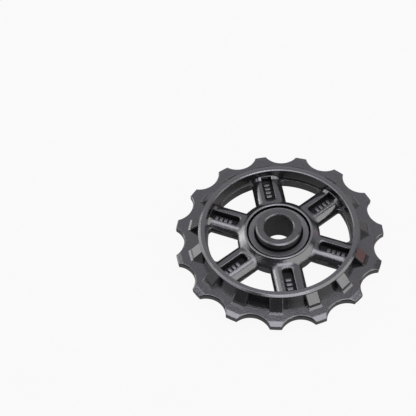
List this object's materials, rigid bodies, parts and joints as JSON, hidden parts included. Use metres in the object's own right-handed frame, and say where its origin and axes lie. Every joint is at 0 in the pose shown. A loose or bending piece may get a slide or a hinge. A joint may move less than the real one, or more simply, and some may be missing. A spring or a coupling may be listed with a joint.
{
  "type": "derailleur jockey wheel",
  "caption": "Moulded toothed wheel with slotted spokes, a raised rim and chain ramps, spinning on a plain bush, for guiding and tensioning a bicycle chain.",
  "frame": {"origin": "centre of the bush bore, half way along it, in the middle plane of the teeth", "axes": "+Z along the axle out of the face with the ramps and slotted spokes, +X along a spoke that lies under a tooth"},
  "size_m": [0.0583, 0.0586, 0.0102],
  "materials": {
    "resin": "satin charcoal moulding with a fine grain",
    "bush_resin": "satin charcoal, turned smooth"
  },
  "bodies": {
    "bush": {"bush": "bush_resin"},
    "wheel": {"toothed_wheel": "resin"}
  },
  "joints": [
    {"name": "wheel_spin", "type": "hinge", "parent": "bush", "child": "wheel", "pos_m": [0, 0, 0], "axis": [0, 0, 1], "continuous": true}
  ]
}
